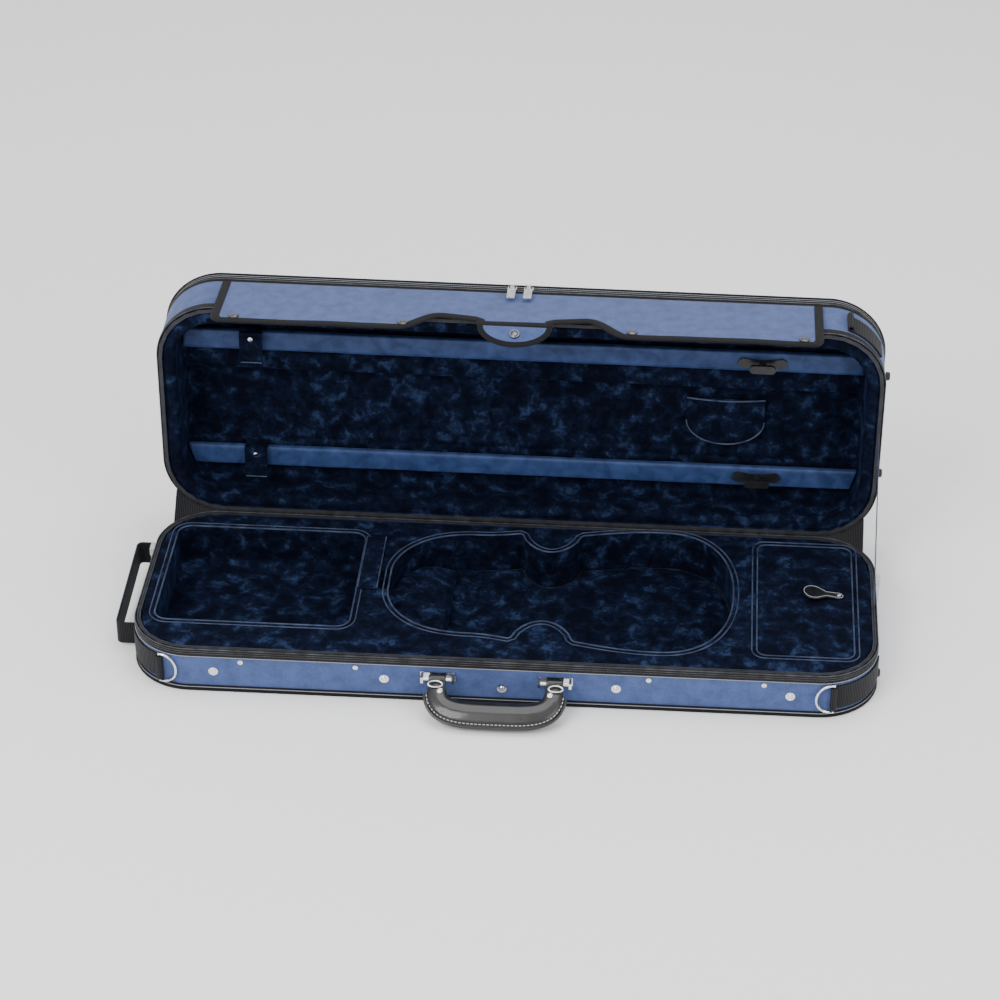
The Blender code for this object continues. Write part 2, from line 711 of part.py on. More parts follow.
def build_lid_shell(lid):
    tray(
        "lid_shell",
        "board",
        lid_outline(SHELL_INSET),
        lid_outline(SHELL_INSET + SHELL_WALL),
        LID_PLATE_Z + LID_PLATE_THICKNESS,
        LID_PLATE_Z,
        GAP,
        lid,
    )
    outer, inner = lid_outline(0), lid_outline(COVER)
    cover_z = (TAPE_HEIGHT + GAP, POCKET_ZIPPER_Z[0] - GAP)
    band("lid_side_cover", "canvas", outer, inner, cover_z, lid)
    band("pocket_zipper", "webbing", lid_outline(-TAPE_PROUD), inner, POCKET_ZIPPER_Z, lid)
    tape_outer, tape_inner = lid_outline(-TAPE_PROUD)[1:-1], inner[1:-1]
    tape_z = (GAP, TAPE_HEIGHT)
    band("lid_zipper_tape", "webbing", tape_outer, tape_inner, tape_z, lid, closed=False)
    piping("lid_outer_piping", (LID_HEIGHT - PIPING_HEIGHT, LID_HEIGHT), lid_outline, lid)
    panel_z = (LID_HEIGHT - POCKET_PANEL_THICKNESS, LID_HEIGHT)
    prism("music_pocket_panel", "canvas", lid_outline(SHELL_INSET), panel_z, lid)


def build_lid_lining(lid):
    top = LID_PLATE_Z - GAP
    outer, inner = lid_outline(LINING_INSET), lid_outline(LID_LINING_INSET)
    band("lid_lining_ring", "velvet", outer, inner, (0.0008, top), lid)
    plan = lid_outline(LID_LINING_INSET + GAP)
    prism("lid_lining_panel", "flock", plan, (LID_PANEL_Z, top), lid)
    front = -CASE_WIDTH + LID_LINING_INSET + GAP
    rear = -LID_LINING_INSET - GAP
    ledge_z = (LEDGE_Z, LID_PANEL_Z - GAP)
    half = HALF_LENGTH - LID_LINING_INSET - GAP
    radius = CORNER_RADIUS - LID_LINING_INSET - GAP
    for name, near, far in (
        ("bow_ledge_upper", UPPER_LEDGE_END_Y, front),
        ("bow_ledge_lower", LOWER_LEDGE_END_Y, rear),
    ):
        away = 1 if far > near else -1
        steps = CORNER_STEPS
        left = arc((-half + radius, far - away * radius), radius, 180, 180 - away * 90, steps)
        right = arc((half - radius, far - away * radius), radius, away * 90, 0, steps)
        outline = [(-half, near)] + left + right + [(half, near)]
        prism(name, "flock", outline, ledge_z, lid)


def lining_half_length(y):
    """Half the lid's clear length at y, inside its lining ring."""
    radius = CORNER_RADIUS - LID_LINING_INSET
    beside = HALF_WIDTH - CORNER_RADIUS
    into_corner = max(0.0, abs(y + HALF_WIDTH) - beside)
    return HALF_LENGTH - CORNER_RADIUS + math.sqrt(radius**2 - into_corner**2)


def build_bow_holders(lid):
    """For each of the two bows: a covered bar, a loop for the tip and a spinner for the frog end."""
    for label, y in BAR_Y.items():
        near, far = y - BAR_WIDTH / 2, y + BAR_WIDTH / 2
        half_near, half_far = (lining_half_length(edge) - BAR_END_GAP for edge in (near, far))
        outline = [(-half_near, near), (half_near, near), (half_far, far), (-half_far, far)]
        prism(f"bow_bar_{label}", "satin", outline, (BAR_Z, BAR_Z + BAR_THICKNESS), lid)

        across = BAR_WIDTH / 2 + 0.0006
        drop = 0.010
        outer_z, inner_z = BAR_Z - 0.0092, BAR_Z - 0.0070
        back_z = BAR_Z + BAR_THICKNESS + 0.0012
        reach = 0.0250
        profile = [
            (y - across, back_z),
            (y - across, inner_z),
            (y + across + drop, inner_z),
            (y + across + drop, outer_z),
            (y - across - 0.0022, outer_z),
            (y - across - 0.0022, back_z + 0.0022),
            (y + across, back_z + 0.0022),
            (y + across, back_z),
        ]
        x_range = (BOW_LOOP_X - reach / 2, BOW_LOOP_X + reach / 2)
        extrude_x(f"bow_tip_loop_{label}", "velvet", profile, x_range, lid)
        build_spinner(lid, label, y)


def build_spinner(lid, label, y):
    plate_z = (BAR_Z - GAP - 0.0020, BAR_Z - GAP)
    half, ear, neck = 0.0207, 0.0062, 0.0040
    outline = arc((half, 0), ear, -120, 120, 6) + [(0.006, neck), (-0.006, neck)]
    outline += arc((-half, 0), ear, 60, 300, 6) + [(-0.006, -neck), (0.006, -neck)]
    base = prism(
        f"spinner_base_{label}",
        "plastic",
        [(SPINNER_X + px, y + py) for px, py in outline],
        plate_z,
        lid,
    )
    top = plate_z[0] - SPINNER_POST
    foot = plate_z[0] + 0.001
    join(base, cylinder("post", None, (SPINNER_X, y, foot), (SPINNER_X, y, top), 0.0035, lid))
    axis = frame(f"spinner_{label}_axis", (SPINNER_X, y, top - GAP), parent=lid)
    long, wide = 0.0145, 0.0048
    shape = arc((long - wide, 0), wide, -90, 90, 5) + arc((-long + wide, 0), wide, 90, 270, 5)
    prism(f"spinner_toggle_{label}", "plastic", shape, (-0.0040, 0), axis)


def build_half_round_pocket(lid):
    """A shallow pouch on the centre panel, open along its straight edge."""
    x_mid, y_top, y_bottom = 0.2245, -0.141, -0.082
    half = 0.0435
    depth = (LID_PANEL_Z - GAP - 0.0090, LID_PANEL_Z - GAP)
    lower = y_bottom - 0.030

    def outline(inset, top):
        wide, low = half - inset, y_bottom - inset
        points = [(x_mid - wide, top)]
        points += [
            (x_mid + wide * math.cos(t), lower + (low - lower) * math.sin(t))
            for t in (math.pi * (1 - i / 10) for i in range(11))
        ]
        return points + [(x_mid + wide, top)]

    pouch = prism("half_round_pocket", "velvet", outline(0, y_top), depth, lid)
    hollow_z = (depth[0] + 0.0020, depth[1] - 0.0016)
    cut(pouch, prism("hollow", None, outline(0.003, y_top - 0.02), hollow_z, lid))


def build_pocket_sliders(lid):
    """Two sliders that meet in the middle of the music pocket's zipper, each with its own pull."""
    face = -CASE_WIDTH - TAPE_PROUD - GAP
    middle = sum(POCKET_ZIPPER_Z) / 2
    for label, x in (("left", -0.014), ("right", 0.004)):
        run = frame(f"pocket_slider_{label}_run", (x, face, middle), parent=lid)
        low, high = (-0.0050, -0.0035, -0.0036), (0.0050, 0, 0.0036)
        slider = block(f"pocket_slider_{label}", "chrome", low, high, run)
        for side in (-1, 1):
            low = (side * 0.0032 - 0.0007, -0.0078, -0.0018)
            high = (side * 0.0032 + 0.0007, -0.0030, 0.0018)
            join(slider, block("ear", None, low, high, run))
        pivot = (x, face - 0.0058, middle)
        hinge = frame(f"pocket_pull_{label}_hinge", pivot, (-FLAP_LIFT, 0, 0), lid)
        outline = [(-0.0019, 0.0008), (-0.0019, -0.007), (-0.0044, -0.011), (-0.0044, -0.031)]
        outline += [(-x_pull, z_pull) for x_pull, z_pull in reversed(outline)]
        extrude_y(f"pocket_pull_{label}", "chrome", outline, (-0.0008, 0.0008), hinge)


def flap_lower_edge(x):
    """Height of the flap's lower edge above the case's underside, with the case shut."""
    peak, beside_tongue = 0.0468, 0.0400
    left, right = SCALLOP_X
    if left <= x <= right:
        edge = TONGUE_HALF_WIDTH + 0.0015
        reach = abs(x - TONGUE_X)
        if reach <= TONGUE_HALF_WIDTH:
            return TONGUE_TOP
        if reach <= edge:
            share = (reach - TONGUE_HALF_WIDTH) / (edge - TONGUE_HALF_WIDTH)
            return TONGUE_TOP + (beside_tongue - TONGUE_TOP) * share
        span = (left if x < TONGUE_X else right) - TONGUE_X
        return beside_tongue + (peak - beside_tongue) * (reach - edge) / (abs(span) - edge)
    away = left - x if x < left else x - right
    share = min(1.0, away / 0.045)
    return peak + (FLAP_LOW - peak) * (1 - math.cos(math.pi * share)) / 2


def build_cover_flap(lid):
    """The flap that hides the main zipper: it snaps to the base's studs when the case is shut."""
    out = -CASE_WIDTH - FLAP_HINGE_OUT
    hinge = frame("cover_flap_hinge", (0, out, FLAP_HINGE_Z), (-FLAP_LIFT, 0, 0), lid)
    (left, right), corner = FLAP_X, 0.012
    low_left, low_right = left + FLAP_TAPER, right - FLAP_TAPER
    edge = arc((low_left + corner, FLAP_LOW + corner), corner, 180, 270, 4)
    rise = [SCALLOP_X[0] - 0.045 * (1 - i / 6) for i in range(7)]
    fall = [SCALLOP_X[1] + 0.045 * i / 6 for i in range(7)]
    shoulder, inside = TONGUE_HALF_WIDTH + 0.0015, TONGUE_HALF_WIDTH
    middle = [TONGUE_X + reach for reach in (-shoulder, -inside, inside, shoulder)]
    edge += [(x, flap_lower_edge(x)) for x in rise + middle + fall]
    edge += arc((low_right - corner, FLAP_LOW + corner), corner, 270, 360, 4)
    down = HINGE_Z + FLAP_HINGE_Z
    outline = [(left, 0.0)] + [(x, z - down) for x, z in edge] + [(right, 0.0)]
    thickness = (-FLAP_THICKNESS / 2, FLAP_THICKNESS / 2)
    extrude_y("cover_flap", "canvas", outline, thickness, hinge)

    fold = frame("flap_tongue_hinge", (TONGUE_X, 0, TONGUE_TOP - down - GAP), (0, 0, 0), hinge)
    fold.rotation_euler.x = TONGUE_DROOP
    half, length = TONGUE_HALF_WIDTH, TONGUE_LENGTH
    turns = [-math.pi * i / 12 for i in range(13)]
    tongue = [(half * math.cos(t), length * math.sin(t) - 0.0004) for t in turns]
    extrude_y("flap_tongue", "canvas", tongue, thickness, fold)


def build_lid_stay():
    """Flat ribbon, taut between the right-hand rims while the lid stands open."""
    x, half_thick, half_wide = 0.392, 0.0004, 0.004
    foot = Vector((x, -0.006, BASE_HEIGHT + 0.0005 + half_wide))
    head = Vector((x, HINGE_Y + 0.0005 - half_wide, 0.193))
    along = (head - foot).normalized()
    across = along.cross(Vector((1, 0, 0)))
    thick = Vector((half_thick, 0, 0))
    rings = [
        [
            end + across * half_wide + thick,
            end + across * half_wide - thick,
            end - across * half_wide - thick,
            end - across * half_wide + thick,
        ]
        for end in (foot, head)
    ]
    loft("lid_stay_ribbon", "ribbon", rings)


def main():
    clear_scene()
    build_base_shell()
    build_hinge_side()
    build_violin_bed()
    build_left_box()
    build_right_compartment()
    build_neck_strap()
    build_snap_studs()
    end_foot("end_foot_base", -0.062, 0.0115)
    last = math.radians(86)
    for side, label, first in ((-1, "left", LEFT_TAB_ANGLE), (1, "right", RIGHT_TAB_ANGLE)):
        corner_tab(f"strap_tab_{label}", side, TAB_Z, (first, last))
        build_d_ring(side, label, first)
    build_handle()
    build_end_carry_strap()

    lid = frame("lid_hinge", (0, HINGE_Y, HINGE_Z), (-LID_OPEN_ANGLE, 0, 0))
    build_lid_shell(lid)
    build_lid_lining(lid)
    build_bow_holders(lid)
    build_half_round_pocket(lid)
    build_pocket_sliders(lid)
    build_cover_flap(lid)
    lid_turns = (math.radians(20), math.radians(62))
    corner_tab("lid_corner_tab", 1, (0.014, 0.046), lid_turns, lid, -HALF_WIDTH)
    end_foot("end_foot_lid_front", -0.200, 0.0170, lid)
    end_foot("end_foot_lid_rear", -0.076, 0.0170, lid)
    build_lid_stay()


main()
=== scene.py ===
"""Oblong violin case, standing open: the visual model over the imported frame. Metres, +Z up."""

import json
import math

import bmesh
import bpy
from mathutils import Matrix, Vector, noise

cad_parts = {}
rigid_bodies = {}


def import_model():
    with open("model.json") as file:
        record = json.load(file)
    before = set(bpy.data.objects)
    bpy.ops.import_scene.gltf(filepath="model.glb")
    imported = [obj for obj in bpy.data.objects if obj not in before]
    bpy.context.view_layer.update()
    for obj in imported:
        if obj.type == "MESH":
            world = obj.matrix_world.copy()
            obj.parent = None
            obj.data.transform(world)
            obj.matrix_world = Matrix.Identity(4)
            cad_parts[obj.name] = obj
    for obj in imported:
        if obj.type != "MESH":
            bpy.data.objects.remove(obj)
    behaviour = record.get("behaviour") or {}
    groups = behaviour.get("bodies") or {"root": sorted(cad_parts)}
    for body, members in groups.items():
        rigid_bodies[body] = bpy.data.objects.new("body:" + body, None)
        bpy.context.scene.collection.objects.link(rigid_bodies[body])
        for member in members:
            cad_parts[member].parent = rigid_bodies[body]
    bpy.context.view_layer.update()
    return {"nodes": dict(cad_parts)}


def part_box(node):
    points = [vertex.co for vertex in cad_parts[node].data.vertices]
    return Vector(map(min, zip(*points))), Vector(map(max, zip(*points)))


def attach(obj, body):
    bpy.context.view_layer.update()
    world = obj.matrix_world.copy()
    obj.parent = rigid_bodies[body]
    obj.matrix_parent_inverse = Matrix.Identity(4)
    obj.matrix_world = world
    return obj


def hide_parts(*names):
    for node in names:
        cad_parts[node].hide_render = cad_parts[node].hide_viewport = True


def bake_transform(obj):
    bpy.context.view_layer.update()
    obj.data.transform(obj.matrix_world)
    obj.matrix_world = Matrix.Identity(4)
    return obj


for leftover in list(bpy.data.objects):
    bpy.data.objects.remove(leftover, do_unlink=True)
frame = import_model()

# ---- dimensions the pieces share
HALF_LENGTH, HALF_WIDTH, CORNER = 0.395, 0.129, 0.064
HINGE = Vector((0.0, 0.129, 0.0543))
TILT = math.radians(1)
LID_DOWN = Vector((0, -math.sin(TILT), -math.cos(TILT)))
LID_OUT = Vector((0, math.cos(TILT), -math.sin(TILT)))
FOAM_TOP = 0.0535

# A plan centred on the case, with its front at -Y. BASE puts it in the base, LID in the open lid.
BASE = Matrix.Identity(4)
LID = Matrix.Translation(HINGE) @ Matrix(
    ((1, 0, 0, 0), (0, LID_DOWN.y, LID_OUT.y, 0), (0, LID_DOWN.z, LID_OUT.z, 0), (0, 0, 0, 1))
)
LID = LID @ Matrix.Translation((0, -0.129, 0))


# ---- materials
class Nodes:
    """A Principled material under construction, its textures in metres on the object's own coordinates."""

    def __init__(self, name, roughness, metallic=0.0, **settings):
        self.material = bpy.data.materials.new(name)
        self.material.use_nodes = True
        self.tree = self.material.node_tree
        self.shader = self.tree.nodes["Principled BSDF"]
        self.shader.inputs["Roughness"].default_value = roughness
        self.shader.inputs["Metallic"].default_value = metallic
        for socket, value in settings.items():
            self.shader.inputs[socket.replace("_", " ")].default_value = value
        self.place = self.add("ShaderNodeTexCoord").outputs["Object"]

    def add(self, kind, **sockets):
        node = self.tree.nodes.new(kind)
        for socket, value in sockets.items():
            self.put(node.inputs[socket.replace("_", " ")], value)
        return node

    def put(self, socket, value):
        if isinstance(value, bpy.types.NodeSocket):
            self.tree.links.new(value, socket)
        else:
            socket.default_value = value

    def noise(self, scale, detail=3.0, distortion=0.0, vector=None):
        node = self.add("ShaderNodeTexNoise", Vector=vector or self.place, Scale=scale, Detail=detail)
        node.inputs["Distortion"].default_value = distortion
        return node.outputs["Fac"]

    def bands(self, direction, period, vector=None):
        node = self.add("ShaderNodeTexWave", Vector=vector or self.place, Scale=math.pi / (10 * period))
        node.bands_direction = direction
        return node.outputs["Fac"]

    def math(self, operation, a, b=0.0):
        node = self.add("ShaderNodeMath")
        node.operation = operation
        self.put(node.inputs[0], a)
        self.put(node.inputs[1], b)
        return node.outputs[0]

    def slanted(self):
        """Coordinates whose X runs along the case and whose Y runs up walls and across faces alike."""
        parts = self.add("ShaderNodeSeparateXYZ", Vector=self.place).outputs
        up = self.math("ADD", parts["Y"], parts["Z"])
        return self.add("ShaderNodeCombineXYZ", X=parts["X"], Y=up).outputs["Vector"]

    def ramp(self, fac, stops):
        node = self.add("ShaderNodeValToRGB", Fac=fac)
        ends = node.color_ramp.elements
        for element, (place, colour) in zip(ends, stops):
            element.position = place
            element.color = (*colour, 1)
        for place, colour in stops[2:]:
            ends.new(place).color = (*colour, 1)
        return node.outputs["Color"]

    def colour(self, value):
        self.put(self.shader.inputs["Base Color"], value)

    def roughen(self, fac, low, high):
        node = self.add("ShaderNodeMapRange", Value=fac, To_Min=low, To_Max=high)
        self.put(self.shader.inputs["Roughness"], node.outputs["Result"])

    def bump(self, height, distance, strength=1.0):
        node = self.add("ShaderNodeBump", Height=height, Distance=distance, Strength=strength)
        self.put(self.shader.inputs["Normal"], node.outputs["Normal"])


def canvas_material():
    made = Nodes("blue_canvas", 0.85, Sheen_Weight=0.12, Sheen_Roughness=0.5)
    flat = made.slanted()
    weave = made.math("MULTIPLY", made.bands("X", 0.0011, flat), made.bands("Y", 0.0011, flat))
    mottle = made.math("ADD", made.math("MULTIPLY", made.noise(420, 2), 0.6), made.noise(75, 2))
    made.colour(made.ramp(mottle, [(0.55, (0.034, 0.062, 0.180)), (1.05, (0.055, 0.097, 0.270))]))
    made.bump(weave, 0.0004, 0.8)
    return made.material


def webbing_material(name, dark, light, period):
    made = Nodes(name, 0.75, Sheen_Weight=0.05, Sheen_Roughness=0.4, Specular_IOR_Level=0.2)
    flat = made.slanted()
    ribs = made.math("ADD", made.bands("X", period, flat), made.math("MULTIPLY", made.noise(700, 2), 0.5))
    made.colour(made.ramp(ribs, [(0.25, dark), (1.2, light)]))
    made.bump(ribs, 0.0005, 0.9)
    return made.material


def velvet_material(name, deep, middle, light):
    made = Nodes(
        name, 0.9, Sheen_Weight=0.07, Sheen_Roughness=0.3, Sheen_Tint=(0.2, 0.36, 1, 1), Specular_IOR_Level=0.06
    )
    crush = made.noise(64, 7, 0.4)
    pile = made.noise(260, 4, 0.4)
    mixed = made.math("ADD", made.math("MULTIPLY", crush, 0.75), made.math("MULTIPLY", pile, 0.25))
    made.colour(made.ramp(mixed, [(0.42, deep), (0.68, light), (0.55, middle)]))
    made.bump(made.math("ADD", made.noise(900, 2), made.math("MULTIPLY", crush, 2.0)), 0.0006, 0.7)
    return made.material


def satin_material(name, dark, light, roughness):
    made = Nodes(name, roughness, Sheen_Weight=0.1, Sheen_Roughness=0.3, Specular_IOR_Level=0.25)
    made.colour(made.ramp(made.noise(60, 3, 0.5), [(0.35, dark), (0.7, light)]))
    made.bump(made.bands("X", 0.0008, made.slanted()), 0.0002, 0.6)
    return made.material


def leather_material():
    made = Nodes("black_leather", 0.3, Coat_Weight=0.45, Coat_Roughness=0.07)
    cells = made.add("ShaderNodeTexVoronoi", Vector=made.place, Scale=900.0).outputs["Distance"]
    wear = made.noise(70, 4, 0.4)
    made.colour(made.ramp(wear, [(0.4, (0.003, 0.003, 0.004)), (0.75, (0.010, 0.010, 0.012))]))
    made.roughen(wear, 0.22, 0.42)
    made.bump(cells, 0.0003, 0.5)
    return made.material


def metal_material(name, dark, light):
    made = Nodes(name, 0.16, 1.0)
    wear = made.noise(220, 4, 0.3)
    made.colour(made.ramp(wear, [(0.3, dark), (0.7, light)]))
    made.roughen(wear, 0.10, 0.28)
    made.bump(made.noise(1500, 2), 0.00005, 0.4)
    return made.material


def plastic_material(name, dark, light, roughness):
    made = Nodes(name, roughness)
    grain = made.noise(1100, 2)
    made.colour(made.ramp(made.noise(90, 3), [(0.35, dark), (0.7, light)]))
    made.roughen(grain, roughness - 0.08, roughness + 0.12)
    made.bump(grain, 0.0001, 0.5)
    return made.material


CANVAS = canvas_material()
WEBBING = webbing_material("black_webbing", (0.003, 0.003, 0.004), (0.022, 0.022, 0.026), 0.0018)
BINDING = webbing_material("black_grosgrain", (0.002, 0.002, 0.003), (0.010, 0.010, 0.013), 0.0012)
# Grey thread colour for stitching and seams, also used for the painted highlight line along the edge binding.
SEAM_AND_HIGHLIGHT = webbing_material("grey_seam_and_painted_highlight", (0.16, 0.17, 0.19), (0.34, 0.36, 0.40), 0.0020)
THREAD = webbing_material("white_thread", (0.50, 0.50, 0.50), (0.78, 0.78, 0.78), 0.0010)
VELVET = velvet_material("navy_velvet", (0.0012, 0.0022, 0.0080), (0.0036, 0.0068, 0.0210), (0.0180, 0.0310, 0.0800))
SATIN = satin_material("blue_satin", (0.014, 0.030, 0.095), (0.032, 0.060, 0.165), 0.42)
PIPING = satin_material("light_blue_piping", (0.015, 0.024, 0.055), (0.050, 0.072, 0.130), 0.5)
LEATHER = leather_material()
CHROME = metal_material("polished_chrome", (0.62, 0.62, 0.64), (0.86, 0.86, 0.88))
DARK_METAL = metal_material("black_nickel", (0.10, 0.10, 0.11), (0.20, 0.20, 0.22))
PLASTIC = plastic_material("black_plastic", (0.006, 0.006, 0.007), (0.016, 0.016, 0.018), 0.32)
BOARD = plastic_material("dark_board", (0.008, 0.009, 0.013), (0.020, 0.022, 0.030), 0.7)
TEETH = plastic_material("zipper_coil", (0.010, 0.010, 0.012), (0.060, 0.062, 0.070), 0.4)


# ---- building
def put(name, mesh, material, body):
    """A piece from a mesh, riding on a body."""
    mesh.materials.clear()
    mesh.materials.append(material)
    mesh.shade_smooth()
    mesh.set_sharp_from_angle(angle=math.radians(50))
    piece = bpy.data.objects.new(name, mesh)
    bpy.context.scene.collection.objects.link(piece)
    if body:
        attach(piece, body)
    return piece


def mesh_from(name, verts, faces):
    mesh = bpy.data.meshes.new(name)
    mesh.from_pydata([tuple(v) for v in verts], [], faces)
    shape = bmesh.new()
    shape.from_mesh(mesh)
    bmesh.ops.recalc_face_normals(shape, faces=shape.faces)
    shape.to_mesh(mesh)
    shape.free()
    return mesh


def bridge(rings, closed, capped=True):
    """Faces that join rings of equal length, each ring being a closed section."""
    count, size, faces = len(rings), len(rings[0]), []
    for i in range(count if closed else count - 1):
        a, b = i * size, (i + 1) % count * size
        faces += [(a + j, a + (j + 1) % size, b + (j + 1) % size, b + j) for j in range(size)]
    if capped and not closed:
        faces += [tuple(range(size)), tuple((count - 1) * size + j for j in range(size))]
    return faces


def plan(inset=0.0, spacing=0.004):
    """The case's closed outline from the middle of the front, as (x, y, normal x, normal y)."""
    straight_x, straight_y = HALF_LENGTH - CORNER, HALF_WIDTH - CORNER
    radius = CORNER - inset
    points = []

    def line(start, end, normal):
        steps = max(1, round(math.dist(start, end) / spacing))
        for i in range(steps):
            share = i / steps
            x = start[0] + (end[0] - start[0]) * share
            y = start[1] + (end[1] - start[1]) * share
            points.append((x, y, *normal))

    def turn(cx, cy, start):
        steps = max(6, round(radius * math.pi / 2 / spacing))
        for i in range(steps):
            t = math.radians(start + 90 * i / steps)
            points.append((cx + radius * math.cos(t), cy + radius * math.sin(t), math.cos(t), math.sin(t)))

    edge_x, edge_y = HALF_LENGTH - inset, HALF_WIDTH - inset
    line((0, -edge_y), (straight_x, -edge_y), (0, -1))
    turn(straight_x, -straight_y, 270)
    line((edge_x, -straight_y), (edge_x, straight_y), (1, 0))
    turn(straight_x, straight_y, 0)
    line((straight_x, edge_y), (-straight_x, edge_y), (0, 1))
    turn(-straight_x, straight_y, 90)
    line((-edge_x, straight_y), (-edge_x, -straight_y), (-1, 0))
    turn(-straight_x, -straight_y, 180)
    line((-straight_x, -edge_y), (0, -edge_y), (0, -1))
    return points


def around(name, section, material, body, place, spacing=0.004, ripple=None, pulse=1.0):
    """A closed band round the case: section is a loop of (outset, height), pulse scales every other station."""
    middle = [sum(p[i] for p in section) / len(section) for i in (0, 1)]
    rings = []
    for index, (x, y, nx, ny) in enumerate(plan(0, spacing)):
        ring = []
        for out, z in section:
            if pulse != 1.0 and index % 2:
                out = middle[0] + (out - middle[0]) * pulse
                z = middle[1] + (z - middle[1]) * pulse
            extra = ripple(x, y, z) if ripple and out > middle[0] else 0
            ring.append(place @ Vector((x + nx * (out + extra), y + ny * (out + extra), z)))
        rings.append(ring)
    mesh = mesh_from(name, [v for ring in rings for v in ring], bridge(rings, True))
    return put(name, mesh, material, body)


def bead(out, z, radius, steps=8):
    return [
        (out + radius * math.cos(2 * math.pi * i / steps), z + radius * math.sin(2 * math.pi * i / steps))
        for i in range(steps)
    ]


def wall(low, high, proud=0.0, thick=0.0009, rows=8):
    """The section of a cloth band from one height to another, slightly full in its middle."""
    outer = []
    for i in range(rows + 1):
        share = i / rows
        outer.append((proud + 0.0004 * math.sin(math.pi * share), low + (high - low) * share))
    return outer + [(proud - thick, high), (proud - thick, low)]


def sag(x, y, z):
    """Slight fullness of cloth stretched over the shell."""
    return 0.0003 * noise.noise(Vector((x * 14, y * 14, z * 40)))


def tube(name, points, radius, material, body, closed=False):
    """A round cord through points, as a mesh."""
    points = [Vector(p) for p in points]
    count = len(points)
    rings = []
    side = None
    for i, point in enumerate(points):
        after = points[(i + 1) % count] if closed or i < count - 1 else point
        before = points[i - 1] if closed or i else point
        along = (after - before).normalized()
        if side is None:
            side = along.orthogonal().normalized()
        side = (side - along * side.dot(along)).normalized()
        other = along.cross(side)
        turns = [2 * math.pi * k / 8 for k in range(8)]
        rings.append([point + side * (radius * math.cos(t)) + other * (radius * math.sin(t)) for t in turns])
    mesh = mesh_from(name, [v for ring in rings for v in ring], bridge(rings, closed))
    return put(name, mesh, material, body)


def resample(points, step, closed=False):
    """Points every step along a polyline."""
    points = [Vector(p) for p in points]
    if closed:
        points.append(points[0])
    result, rest = [points[0]], 0.0
    for a, b in zip(points, points[1:]):
        length = (b - a).length
        place = step - rest
        while place < length:
            result.append(a.lerp(b, place / length))
            place += step
        rest = length - (place - step)
    return result


def stitches(name, points, material, body, stitch=0.0028, gap=0.0014, radius=0.00035, closed=False):
    """A row of separate stitches lying along points."""
    fine = resample(points, 0.0007, closed)
    run, skip = round(stitch / 0.0007), round(gap / 0.0007)
    verts, faces = [], []
    for start in range(0, len(fine) - run, run + skip):
        a, b = fine[start], fine[start + run]
        along = (b - a).normalized()
        side = along.orthogonal().normalized()
        other = along.cross(side)
        first = len(verts)
        for share, fat in ((0, 0.3), (0.25, 1), (0.75, 1), (1, 0.3)):
            middle = a.lerp(b, share)
            for k in range(6):
                t = math.pi * k / 3
                verts.append(middle + (side * math.cos(t) + other * math.sin(t)) * radius * fat)
        for r in range(3):
            low = first + r * 6
            faces += [(low + k, low + (k + 1) % 6, low + 6 + (k + 1) % 6, low + 6 + k) for k in range(6)]
        faces += [tuple(range(first, first + 6)), tuple(range(first + 18, first + 24))]
    return put(name, mesh_from(name, verts, faces), material, body)


def turned(name, profile, centre, axis, material, body, steps=24):
    """A solid of revolution: profile is (radius, height) from the axis out and back."""
    axis = Vector(axis).normalized()
    side = axis.orthogonal().normalized()
    other = axis.cross(side)
    rings = []
    for k in range(steps):
        t = 2 * math.pi * k / steps
        out = side * math.cos(t) + other * math.sin(t)
        rings.append([Vector(centre) + out * r + axis * h for r, h in profile])
    mesh = mesh_from(name, [v for ring in rings for v in ring], bridge(rings, True))
    shape = bmesh.new()
    shape.from_mesh(mesh)
    bmesh.ops.remove_doubles(shape, verts=shape.verts, dist=1e-5)
    bmesh.ops.recalc_face_normals(shape, faces=shape.faces)
    shape.to_mesh(mesh)
    shape.free()
    return put(name, mesh, material, body)


def cap(name, centre, axis, radius, height, material, body):
    """A pressed metal cap with a rolled rim."""
    profile = [(0, height), (radius * 0.45, height * 0.94), (radius * 0.72, height * 0.72)]
    profile += [(radius * 0.80, height * 0.58), (radius * 0.95, height * 0.62), (radius, height * 0.35)]
    profile += [(radius, 0), (0, 0)]
    return turned(name, profile, centre, axis, material, body)


def evaluated(piece):
    """The piece's mesh with its modifiers applied."""
    graph = bpy.context.evaluated_depsgraph_get()
    return bpy.data.meshes.new_from_object(piece.evaluated_get(graph))


def joined(name, nodes):
    """A free copy of one or more CAD nodes' meshes."""
    shape = bmesh.new()
    for node in nodes:
        shape.from_mesh(frame["nodes"][node].data)
    bmesh.ops.remove_doubles(shape, verts=shape.verts, dist=1e-5)
    mesh = bpy.data.meshes.new(name)
    shape.to_mesh(mesh)
    shape.free()
    return mesh


def cloth_copy(name, nodes, material, body, bevel=0.0004, levels=1):
    """A flat fabric or leather piece in its CAD solid's place, with softened edges."""
    piece = put(name, joined(name, nodes), material, None)
    edge = piece.modifiers.new("edge", "BEVEL")
    edge.width = bevel
    edge.segments = 2
    edge.limit_method = "ANGLE"
    if levels:
        soft = piece.modifiers.new("soft", "SUBSURF")
        soft.subdivision_type = "SIMPLE"
        soft.levels = soft.render_levels = levels
    piece.data = evaluated(piece)
    piece.modifiers.clear()
    if body:
        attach(piece, body)
    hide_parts(*nodes)
    return piece


